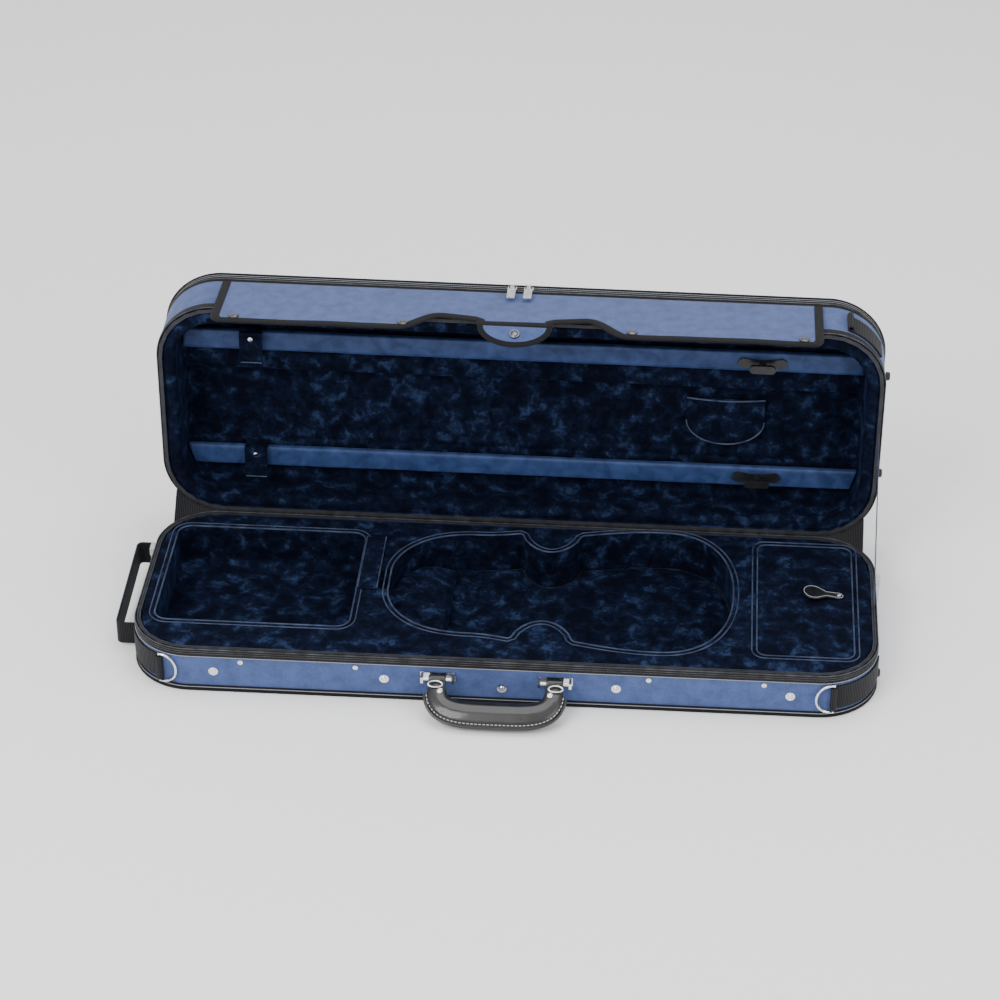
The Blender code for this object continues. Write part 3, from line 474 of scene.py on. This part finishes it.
def padded_copy(name, nodes, body, voxel=0.003, axis=(0, 0, 1), fold=0.0011, puff=0.0):
    """Upholstery over the CAD solids: one skin, soft edges, and folds that run along axis down its walls."""
    piece = put(name, joined(name, nodes), VELVET, None)
    skin = piece.modifiers.new("skin", "REMESH")
    skin.mode = "VOXEL"
    skin.voxel_size = voxel
    piece.data = evaluated(piece)
    piece.modifiers.clear()
    if puff:
        inflate(piece, puff)
    soften = piece.modifiers.new("soften", "SMOOTH")
    soften.iterations = 3
    soften.factor = 0.5
    piece.data = evaluated(piece)
    piece.modifiers.clear()
    axis = Vector(axis)
    normals = [vertex.normal.copy() for vertex in piece.data.vertices]
    for vertex, normal in zip(piece.data.vertices, normals):
        up = vertex.co.dot(axis)
        flat = vertex.co - axis * up
        lean = 1 - abs(normal.dot(axis))
        folds = noise.noise(flat * 62 + axis * up * 9) * fold * lean
        dents = noise.noise(vertex.co * 38) * 0.0004
        vertex.co += normal * (folds + dents - 0.0002)
    piece.data.shade_smooth()
    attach(piece, body)
    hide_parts(*nodes)
    return piece


def inflate(piece, limit):
    """Swells a pad with a short cloth simulation, each point held within limit of where it was."""
    before = [v.co.copy() for v in piece.data.vertices]
    cloth = piece.modifiers.new("cloth", "CLOTH")
    cloth.settings.use_pressure = True
    cloth.settings.uniform_pressure_force = 4
    cloth.settings.effector_weights.gravity = 0
    cloth.point_cache.frame_start = 1
    cloth.point_cache.frame_end = 20
    for step in range(1, 21):
        bpy.context.scene.frame_set(step)
    swollen = evaluated(piece)
    piece.modifiers.clear()
    for vertex, old, new in zip(piece.data.vertices, before, swollen.vertices):
        move = new.co - old
        vertex.co = old + move * min(1.0, limit / max(move.length, 1e-9))
    bpy.context.scene.frame_set(1)


def rounded(x_range, y_range, radius, steps=8):
    (x0, x1), (y0, y1) = x_range, y_range
    corners = ((x1, y1, 0), (x0, y1, 90), (x0, y0, 180), (x1, y0, 270))
    points = []
    for x, y, start in corners:
        cx = x + (radius if x == x0 else -radius)
        cy = y + (radius if y == y0 else -radius)
        for i in range(steps + 1):
            t = math.radians(start + 90 * i / steps)
            points.append((cx + radius * math.cos(t), cy + radius * math.sin(t)))
    return points


def keep(nodes, material):
    for node in nodes.split():
        shown = frame["nodes"][node]
        shown.data.materials.clear()
        shown.data.materials.append(material)


# ---- shell, covers, bound edges and zipper tapes
keep("base_shell lid_shell", BOARD)

for half, place, sign, depth in (("base", BASE, 1, 0.0), ("lid", LID, -1, 0.078)):

    def level(height, sign=sign, depth=depth):
        """Height above the case's outer face, turned into the half's own z."""
        return depth + sign * height

    cover_top = 0.0425 if half == "base" else 0.0662
    side = around(
        f"{half}_canvas", wall(level(0.0062), level(cover_top)), CANVAS, half, place, ripple=sag
    )
    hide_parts(f"{half}_side_cover")
    piping = "base_bottom_piping" if half == "base" else "lid_outer_piping"
    binding = around(f"{half}_edge_binding", wall(level(0.0006), level(0.0062), 0.0006), BINDING, half,
                     place)
    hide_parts(piping)
    around(f"{half}_edge_cord", bead(0.0006, level(0.0020), 0.0020), BINDING, half, place)
    # A pale grey bead between the cord and the lip: a painted highlight line along the edge binding, not a real seam.
    around(f"{half}_edge_painted_highlight", bead(0.0009, level(0.0046), 0.0006), SEAM_AND_HIGHLIGHT, half, place)
    around(f"{half}_edge_lip", bead(0.0008, level(0.0062), 0.0010), BINDING, half, place)

around("base_tape_band", wall(0.0430, 0.0532, 0.0004), WEBBING, "base", BASE)
around("lid_tape_band", wall(0.0016, 0.0112, 0.0004), WEBBING, "lid", LID)
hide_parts("base_zipper_tape")
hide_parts("lid_zipper_tape")
around("base_tape_seam", bead(0.0007, 0.0437, 0.0005), SEAM_AND_HIGHLIGHT, "base", BASE)
for index, height in enumerate((0.0478, 0.0504)):
    around(f"base_tape_ridge_{index}", bead(0.0008, height, 0.0004), TEETH, "base", BASE)
around("base_zipper_coil", bead(0.0002, 0.0529, 0.0009, 6), TEETH, "base", BASE, 0.00125, pulse=0.6)
around("lid_zipper_coil", bead(0.0002, 0.0022, 0.0009, 6), TEETH, "lid", LID, 0.00125, pulse=0.6)

cloth_copy("base_underside", ["base_bottom_cover"], BINDING, "base")
cloth_copy("music_pocket_cloth", ["music_pocket_panel"], CANVAS, "lid")
zip_band = around("pocket_zip_band", wall(0.0604, 0.0713, 0.0003), BINDING, "lid", LID)
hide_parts("pocket_zipper")
around("pocket_zip_coil", bead(0.0006, 0.06585, 0.0012, 6), TEETH, "lid", LID, 0.00125, pulse=0.6)
around("pocket_zip_seam", bead(0.0006, 0.0712, 0.0005), SEAM_AND_HIGHLIGHT, "lid", LID)

# ---- the cloth hinge and the stay
hinge_cloth = cloth_copy("rear_hinge_cloth", ["rear_hinge_tape"], WEBBING, None, levels=2)
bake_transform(hinge_cloth)
stay = cloth_copy("stay_ribbon", ["lid_stay_ribbon"], PIPING, None, bevel=0.0001, levels=3)
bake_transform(stay)

# ---- lining of the base
padded_copy(
    "base_lining",
    ["left_foam_block", "violin_bed_front", "violin_bed_rear", "right_foam_block"],
    "base",
    voxel=0.0028,
)
padded_copy("violin_floor_pad", ["violin_bed_floor"], "base", voxel=0.0022, fold=0.0)
padded_copy("neck_cradle", ["neck_pad"], "base", voxel=0.004, fold=0.002, puff=0.003)
around("base_rim_roll", bead(-0.0034, 0.0512, 0.0026), VELVET, "base", BASE)


def recess_half_width(x):
    """Half the violin recess's width at x."""
    if x > 0.071:
        if x < 0.158:
            return 0.098 + 0.013 * math.sin(math.pi / 2 * (x - 0.071) / 0.087)
        reach = min(1.0, (x - 0.158) / 0.082)
        return 0.111 * (1 - reach**2.5) ** (1 / 2.2)
    if x > 0.005:
        return 0.098 - 0.034 * math.sin(math.pi * (x - 0.005) / 0.066) ** 0.6
    if x > -0.040:
        return 0.098 - 0.0065 * math.cos(math.pi / 2 * (x + 0.040) / 0.045)
    reach = min(1.0, (-0.040 - x) / 0.092)
    return 0.017 + 0.0745 * (1 - reach**2.4) ** (1 / 1.9)


def recess_line(spread):
    """The recess's edge on the top of the bed, set back from the opening by spread."""
    samples = [-0.132 + 0.372 * (1 - math.cos(math.pi * i / 90)) / 2 for i in range(91)]
    corners = (0.0052, 0.0708)
    samples = sorted(samples + list(corners))
    edge = [Vector((x, recess_half_width(x))) for x in samples]
    pushed = []
    for i, point in enumerate(edge):
        before, after = edge[max(0, i - 1)], edge[min(len(edge) - 1, i + 1)]
        along = (after - before).normalized()
        pushed.append(point + Vector((-along.y, along.x)) * spread)
    rear = [(p.x, 0.012 + p.y, FOAM_TOP - 0.0003) for p in pushed]
    front = [(p.x, 0.012 - p.y, FOAM_TOP - 0.0003) for p in reversed(pushed)]
    return rear + front


def flat_loop(points, z):
    return [(x, y, z) for x, y in points]


for index, (spread, radius) in enumerate(((0.0008, 0.0010), (0.0062, 0.0008))):
    tube(f"recess_piping_{index}", recess_line(spread), radius, PIPING, "base", closed=True)
    left_box = rounded((-0.3745 - spread, -0.1675 + spread), (-0.0775 - spread, 0.0975 + spread), 0.014 + spread)
    tube(f"scroll_box_piping_{index}", flat_loop(left_box, FOAM_TOP - 0.0003), radius, PIPING, "base",
         closed=True)
right_box = rounded((0.2610, 0.3750), (-0.1020, 0.1140), 0.014)
tube("tail_box_piping", flat_loop(right_box, FOAM_TOP + 0.0001), 0.0008, PIPING, "base", closed=True)


# ---- lid of the covered box, its pull tab and the neck strap
def cushion(name, outline, low, high, crown, material, body, place=BASE):
    """A thin upholstered panel: a rounded outline, square below and crowned above."""
    middle = Vector((sum(p[0] for p in outline), sum(p[1] for p in outline))) / len(outline)
    rings = []
    for share, z in ((0.0, low), (0.97, low), (1.0, low + 0.0008), (1.0, high - 0.0009), (0.975, high)):
        rings.append((share, z))
    for share in (0.93, 0.85, 0.7, 0.5, 0.3, 0.12, 0.0):
        rings.append((share, high + crown * (1 - share**4)))
    verts, faces, size = [], [], len(outline)
    for share, z in rings:
        for x, y in outline:
            flat = middle + (Vector((x, y)) - middle) * share
            wave = noise.noise(Vector((flat.x * 30, flat.y * 30, 2))) * 0.0004 if z > high else 0
            verts.append(place @ Vector((flat.x, flat.y, z + wave)))
    for r in range(len(rings) - 1):
        a, b = r * size, (r + 1) * size
        faces += [(a + j, a + (j + 1) % size, b + (j + 1) % size, b + j) for j in range(size)]
    mesh = mesh_from(name, verts, faces)
    shape = bmesh.new()
    shape.from_mesh(mesh)
    bmesh.ops.remove_doubles(shape, verts=shape.verts, dist=1e-5)
    bmesh.ops.recalc_face_normals(shape, faces=shape.faces)
    shape.to_mesh(mesh)
    shape.free()
    piece = put(name, mesh, material, body)
    return piece


cover_outline = rounded((0.2654, 0.3706), (-0.0976, 0.1096), 0.0116)
cover = cushion("tail_box_cover", cover_outline, 0.0507, 0.0532, 0.0004, VELVET, "compartment_cover")
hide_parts("compartment_lid")
cover_edge = rounded((0.2662, 0.3698), (-0.0968, 0.1088), 0.0108)
tube("tail_box_cover_piping", flat_loop(cover_edge, 0.0533), 0.0009, PIPING, "compartment_cover",
     closed=True)
cloth_copy("pull_tab_leather", ["pull_tab"], LEATHER, "tab", levels=2)
TAB_LIFT = math.radians(8)


def on_tab(x, y):
    """A point on the pull tab's upper face, x from its hinge towards its free end."""
    return Vector((0.360 + x * math.cos(TAB_LIFT), 0.0135 + y, 0.05575 - x * math.sin(TAB_LIFT)))


loop = [on_tab(-0.0335 + 0.0104 * math.cos(t), 0.0104 * math.sin(t)) for t in
        (math.radians(a) for a in range(55, 306, 10))]
loop += [on_tab(-0.0190, -0.0034), on_tab(-0.0056, -0.0040)]
loop += [on_tab(-0.0050 + 0.0040 * math.cos(t), 0.0040 * math.sin(t)) for t in
         (math.radians(a) for a in range(-80, 81, 20))]
loop += [on_tab(-0.0056, 0.0040), on_tab(-0.0190, 0.0034)]
tube("pull_tab_stitch_line", loop, 0.0004, SEAM_AND_HIGHLIGHT, "tab", closed=True)
cap("pull_tab_rivet", on_tab(-0.0056, 0), (math.sin(TAB_LIFT), 0, math.cos(TAB_LIFT)), 0.0026, 0.0012, CHROME, "tab")

strap_outline = rounded((-0.1656, -0.1444), (-0.0096, 0.0896), 0.004)
strap = cushion("neck_strap_pad", strap_outline, 0.0540, 0.0556, 0.0008, VELVET, "strap")
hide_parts("neck_strap")
for label, x in (("left", -0.1654), ("right", -0.1446)):
    points = [(x, -0.0080 + 0.0970 * i / 24, 0.0557 + 0.0002 * math.sin(i)) for i in range(25)]
    tube(f"neck_strap_piping_{label}", points, 0.0008, PIPING, "strap")

# ---- lining of the lid
padded_copy(
    "lid_lining",
    ["lid_lining_ring", "lid_lining_panel", "bow_ledge_upper", "bow_ledge_lower"],
    "lid",
    voxel=0.0030,
    axis=LID_OUT,
    fold=0.0016,
)
around("lid_rim_roll", bead(-0.0036, 0.0031, 0.0027), VELVET, "lid", LID)
for label in ("upper", "lower"):
    bar = padded_copy(f"bow_bar_{label}_satin", [f"bow_bar_{label}"], "lid", voxel=0.002, axis=(1, 0, 0),
                      fold=0.0003)
    bar.data.materials[0] = SATIN
    low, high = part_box(f"bow_tip_loop_{label}")
    cloth_copy(f"bow_tip_strap_{label}", [f"bow_tip_loop_{label}"], VELVET, "lid", bevel=0.0006, levels=2)
    edge = [(low[0] + 0.001, low[1] - 0.0002, low[2] + 0.0012), (high[0] - 0.001, low[1] - 0.0002, low[2] + 0.0012)]
    tube(f"bow_tip_strap_edge_{label}", edge, 0.0007, PIPING, "lid")
    middle = Vector(((low[0] + high[0]) / 2, low[1] + 0.0004, high[2] - 0.0070))
    cap(f"bow_tip_rivet_{label}", middle, -LID_OUT, 0.0026, 0.0012, CHROME, "lid")

pocket = padded_copy("rosin_pocket", ["half_round_pocket"], "lid", voxel=0.0012, axis=LID_OUT, fold=0.0005)


def on_panel(x, y, lift):
    """A point in front of the lid's recessed panel: y from the hinge line, lift towards the viewer."""
    return HINGE + Vector((x, 0, 0)) + LID_DOWN * y + LID_OUT * (0.0627 - lift)


mouth = [on_panel(0.181 + 0.087 * i / 20, -0.1408 + 0.003 * math.sin(math.pi * i / 20), 0.0092) for i in range(21)]
tube("rosin_pocket_mouth", mouth, 0.0010, PIPING, "lid")
curve = [
    on_panel(0.2245 - 0.0432 * math.cos(math.pi * i / 24), -0.112 + 0.0297 * math.sin(math.pi * i / 24), 0.0090)
    for i in range(25)
]
tube("rosin_pocket_edge", curve, 0.0009, PIPING, "lid")
stitches("rosin_pocket_stitch", [p + LID_OUT * -0.0006 for p in curve], SEAM_AND_HIGHLIGHT, "lid", radius=0.0003)

for node in ("spinner_base_upper", "spinner_base_lower", "spinner_toggle_upper", "spinner_toggle_lower"):
    keep(node, PLASTIC)
for node in ("end_foot_base", "end_foot_lid_front", "end_foot_lid_rear"):
    keep(node, PLASTIC)

# ---- outside fittings
keep("snap_stud_1 snap_stud_2 snap_stud_3 snap_stud_4 snap_stud_5", CHROME)
keep("handle_bracket_left handle_bracket_right d_ring_left d_ring_right", CHROME)
keep("main_zip_slider_left main_zip_slider_right pocket_slider_left pocket_slider_right", CHROME)
keep("pocket_pull_left pocket_pull_right", CHROME)
for index, x in enumerate((-0.275, -0.154, 0.154, 0.275)):
    cap(f"front_rivet_{index}", (x, -0.1292, 0.0385), (0, -1, 0), 0.0030, 0.0014, CHROME, "base")
for node in ("strap_tab_left", "strap_tab_right", "end_carry_strap"):
    cloth_copy(node + "_webbing", [node], WEBBING, "base", levels=2)
cloth_copy("lid_corner_webbing", ["lid_corner_tab"], WEBBING, "lid", levels=2)

# ---- handle
grip = put("handle_leather", joined("handle_leather", ["handle_grip"]), LEATHER, None)
round_off = grip.modifiers.new("round", "REMESH")
round_off.mode = "VOXEL"
round_off.voxel_size = 0.0011
grip.data = evaluated(grip)
grip.modifiers.clear()
ease = grip.modifiers.new("ease", "SMOOTH")
ease.iterations = 6
grip.data = evaluated(grip)
grip.modifiers.clear()
grip.data.shade_smooth()
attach(grip, "handle")
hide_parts("handle_grip")
PIVOT = Vector((-0.0055, -0.1375, 0.034))
HANG = math.radians(57.5)
DOWN = Vector((0, -math.sin(HANG), -math.cos(HANG)))
FACE = Vector((0, -math.cos(HANG), math.sin(HANG)))


def handle_point(t, outset, lift):
    """A point by the grip's middle line at turn t, moved outwards in its plane and lifted off its face."""
    def line(turn):
        x = 0.0615 * math.copysign(abs(math.cos(turn)) ** 0.5, math.cos(turn))
        return Vector((x, 0.003 + 0.0355 * math.sin(turn) ** 0.55))

    here = line(t)
    along = (line(min(t + 0.02, math.pi - 0.001)) - line(max(t - 0.02, 0.001))).normalized()
    out = Vector((along.y, -along.x))
    if out.dot(here - Vector((0, 0.018))) < 0:
        out = -out
    spot = here + out * outset
    return PIVOT + Vector((spot.x, 0, 0)) + DOWN * spot.y + FACE * lift


turns = [0.16 + (math.pi - 0.32) * i / 60 for i in range(61)]
stitches("handle_stitching", [handle_point(t, 0.0105 + 0.0012 * math.sin(t), 0.0062) for t in turns], THREAD, "handle",
         radius=0.0004)
tube("handle_welt", [handle_point(t, 0.0128 + 0.0016 * math.sin(t), 0.0020) for t in turns], 0.0016, LEATHER, "handle")
for label, side in (("left", -1), ("right", 1)):
    foot = PIVOT + Vector((side * 0.0615, 0, 0))
    cap(f"handle_knob_{label}", foot + DOWN * 0.0145 + FACE * 0.0050 + Vector((-side * 0.004, 0, 0)), FACE, 0.0030, 0.0016,
        CHROME, "handle")
    keeper = []
    for i in range(25):
        t = 2 * math.pi * i / 24
        keeper.append(foot + Vector((side * 0.0015 + 0.0075 * math.cos(t), 0, 0)) + DOWN * (0.0075 + 0.0035 * math.sin(t))
                      + FACE * 0.0056)
    tube(f"handle_keeper_{label}", keeper[:-1], 0.0009, CHROME, "handle", closed=True)

# ---- cover flap
FLAP_FOOT = Vector((0, 0.192316, 0.312535))
FLAP_ALONG = Vector((0, -math.cos(math.radians(5)), math.sin(math.radians(5))))
FLAP_FACE = Vector((0, math.sin(math.radians(5)), math.cos(math.radians(5))))


def flap_reach(x):
    """Length of the flap from its hinge at x, its lower edge scalloped above the handle."""
    deep, peak, beside = 0.1001, 0.0663, 0.0731
    left, right = -0.0845, 0.0700
    if left <= x <= right:
        if abs(x + 0.005) <= 0.0395:
            return 0.0826
        span = (left if x < -0.005 else right) + 0.005
        return beside + (peak - beside) * (abs(x + 0.005) - 0.0395) / (abs(span) - 0.0395)
    away = left - x if x < left else x - right
    share = min(1.0, away / 0.045)
    reach = peak + (deep - peak) * (1 - math.cos(math.pi * share)) / 2
    end = min(x + 0.328, 0.323 - x)
    if end < 0.012:
        reach -= 0.012 - math.sqrt(max(0.0, 0.012**2 - (0.012 - max(end, 0.0)) ** 2))
    return reach


def flap_point(x, down, lift):
    share = down / 0.1
    wave = 0.0005 * share * share * math.sin(x * 31 + 0.6) + 0.0002 * share * math.sin(x * 83)
    return FLAP_FOOT + Vector((x, 0, 0)) + FLAP_ALONG * down + FLAP_FACE * (lift + wave)


columns = [-0.328 + 0.651 * i / 217 for i in range(218)]
columns = sorted(columns + [-0.0846, -0.0444, 0.0344, 0.0701])
rows = 18
verts, faces = [], []
for x in columns:
    for r in range(rows):
        verts.append(flap_point(x, 0.0006 + (flap_reach(x) - 0.0008) * r / (rows - 1), 0))
for c in range(len(columns) - 1):
    faces += [(c * rows + r, c * rows + r + 1, (c + 1) * rows + r + 1, (c + 1) * rows + r) for r in range(rows - 1)]
flap = put("flap_cloth", mesh_from("flap_cloth", verts, faces), CANVAS, "flap")
body = flap.modifiers.new("thickness", "SOLIDIFY")
body.thickness = 0.0013
body.offset = 0
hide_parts("cover_flap")


def binding_section(width):
    """The folded binding's section as (distance in from the cloth's edge, height over its middle)."""
    over = [(width, 0.0007), (width, 0.0012), (0.0006, 0.0014), (-0.0008, 0.0008)]
    under = [(-0.0008, -0.0007), (0.0006, -0.0010), (width, -0.0009), (width, -0.0007)]
    return over + under + [(0.0012, -0.0007), (0.0012, 0.0007)]


def bound_edge(name, edge, width, where, body, closed=False):
    """A grosgrain binding folded over a cloth edge: edge is points in the cloth's plane, where places them."""
    rings = []
    for i, point in enumerate(edge):
        before, after = edge[max(0, i - 1)], edge[min(len(edge) - 1, i + 1)]
        along = (after - before).normalized()
        inward = Vector((-along.y, along.x))
        ring = []
        for reach, lift in binding_section(width):
            spot = point + inward * reach
            ring.append(where(spot.x, spot.y, lift))
        rings.append(ring)
    mesh = mesh_from(name, [v for ring in rings for v in ring], bridge(rings, closed))
    return put(name, mesh, BINDING, body)


border = [Vector((-0.3282, 0.002 + 0.004 * i)) for i in range(22)]
border += [Vector((x, flap_reach(x))) for x in columns]
border += [Vector((0.3232, 0.086 - 0.004 * i)) for i in range(22)]
border = [Vector((p.x, max(0.002, p.y))) for p in border]
clean = [border[0]]
for point in border[1:]:
    if (point - clean[-1]).length > 0.0012:
        clean.append(point)
bound_edge("flap_binding", [Vector((p.x, p.y)) for p in reversed(clean)], 0.0085, flap_point, "flap")
TONGUE_FOOT = Vector((-0.005, 0.109732, 0.319760))
TONGUE_ALONG = Vector((0, -math.cos(math.radians(22)), -math.sin(math.radians(22))))
TONGUE_FACE = Vector((0, -math.sin(math.radians(22)), math.cos(math.radians(22))))


def tongue_point(x, down, lift):
    return TONGUE_FOOT + Vector((x, 0, 0)) + TONGUE_ALONG * down + TONGUE_FACE * lift


verts, faces = [], []
for c in range(41):
    x = 0.0385 * math.sin(math.pi / 2 * (c - 20) / 20)
    reach = 0.0265 * math.sqrt(max(0.0, 1 - (x / 0.039) ** 2))
    verts += [tongue_point(x, 0.0004 + max(0.0, reach - 0.0006) * r / 9, 0) for r in range(10)]
for c in range(40):
    faces += [(c * 10 + r, c * 10 + r + 1, (c + 1) * 10 + r + 1, (c + 1) * 10 + r) for r in range(9)]
tongue = put("tongue_cloth", mesh_from("tongue_cloth", verts, faces), CANVAS, "tongue")
body = tongue.modifiers.new("thickness", "SOLIDIFY")
body.thickness = 0.0013
body.offset = 0
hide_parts("flap_tongue")
rim = [Vector((0.039 * math.cos(t), 0.0265 * math.sin(t))) for t in (math.pi * (1 - i / 40) for i in range(41))]
bound_edge("tongue_binding", list(reversed(rim)), 0.0050, tongue_point, "tongue")
cap("tongue_cap", tongue_point(0.0005, 0.0110, 0.0008), TONGUE_FACE, 0.0056, 0.0024, DARK_METAL, "tongue")
for index, x in enumerate((-0.304, -0.124, 0.120, 0.303)):
    cap(f"flap_cap_{index}", flap_point(x, 0.0876, 0.0010), FLAP_FACE, 0.0056, 0.0024, DARK_METAL, "flap")

# ---- studio
ground = bpy.data.meshes.new("studio_floor")
ground.from_pydata([(-6, -6, -0.0002), (6, -6, -0.0002), (6, 6, -0.0002), (-6, 6, -0.0002)], [], [(0, 1, 2, 3)])
floor = bpy.data.objects.new("studio_floor", ground)
bpy.context.scene.collection.objects.link(floor)
ground.materials.append(plastic_material("studio_paper", (0.96, 0.96, 0.96), (0.98, 0.98, 0.98), 0.8))

world = bpy.data.worlds.new("studio_world")
bpy.context.scene.world = world
world.use_nodes = True
world.node_tree.nodes["Background"].inputs["Color"].default_value = (1, 1, 1, 1)
world.node_tree.nodes["Background"].inputs["Strength"].default_value = 1.0


def area_light(name, place, target, size, power):
    light = bpy.data.lights.new(name, "AREA")
    light.size = size
    light.energy = power
    lamp = bpy.data.objects.new(name, light)
    lamp.location = place
    lamp.rotation_euler = (Vector(target) - Vector(place)).to_track_quat("-Z", "Y").to_euler()
    bpy.context.scene.collection.objects.link(lamp)


area_light("key", (-1.2, -1.8, 2.2), (0, 0, 0.1), 1.4, 55)
area_light("fill", (1.8, -1.4, 1.4), (0, 0, 0.1), 1.6, 20)
area_light("top", (0.2, 0.3, 2.4), (0, 0, 0.1), 1.5, 22)

eye = Vector((0.18765, -2.62620, 1.92822))
look = Vector((-0.01320, 0.83562, -0.54916)).normalized()
roll = 0.03436
level_right = look.cross(Vector((0, 0, 1))).normalized()
level_up = level_right.cross(look)
right = math.cos(roll) * level_right + math.sin(roll) * level_up
up = -math.sin(roll) * level_right + math.cos(roll) * level_up
lens = bpy.data.cameras.new("camera")
lens.sensor_width = 36
lens.lens = 107.4168
lens.shift_x = -0.150
lens.shift_y = -0.0184
camera = bpy.data.objects.new("camera", lens)
camera.matrix_world = Matrix((right, up, -look)).transposed().to_4x4()
camera.location = eye
bpy.context.scene.collection.objects.link(camera)
bpy.context.scene.camera = camera
